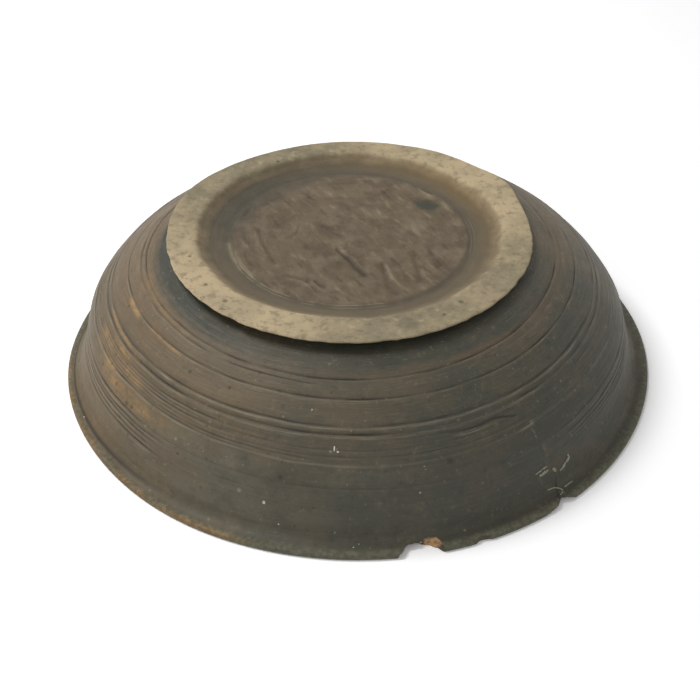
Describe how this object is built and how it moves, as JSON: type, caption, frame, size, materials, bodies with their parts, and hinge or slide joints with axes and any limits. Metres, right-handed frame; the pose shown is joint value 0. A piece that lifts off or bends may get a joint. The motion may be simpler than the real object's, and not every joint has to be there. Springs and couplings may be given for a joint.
{
  "type": "cracked pottery bowl",
  "caption": "Wide thrown pottery bowl lying mouth down, with a flared lip, turned grooves, a broad pale foot, chips in the lip and a crack up the wall.",
  "frame": {"origin": "middle of the rim, on the surface the bowl rests on", "axes": "+Z from the rim up to the foot, so the bowl lies mouth down; the chips and the crack are on the -Y side, and the foot is turned 3.2 mm off centre, towards -X"},
  "size_m": [0.24, 0.24, 0.0538],
  "materials": {
    "fired_clay": "dull, smoke-darkened low-fired clay, pale and gritty on the foot ring"
  },
  "bodies": {
    "root": {"bowl": "fired_clay"}
  },
  "joints": []
}
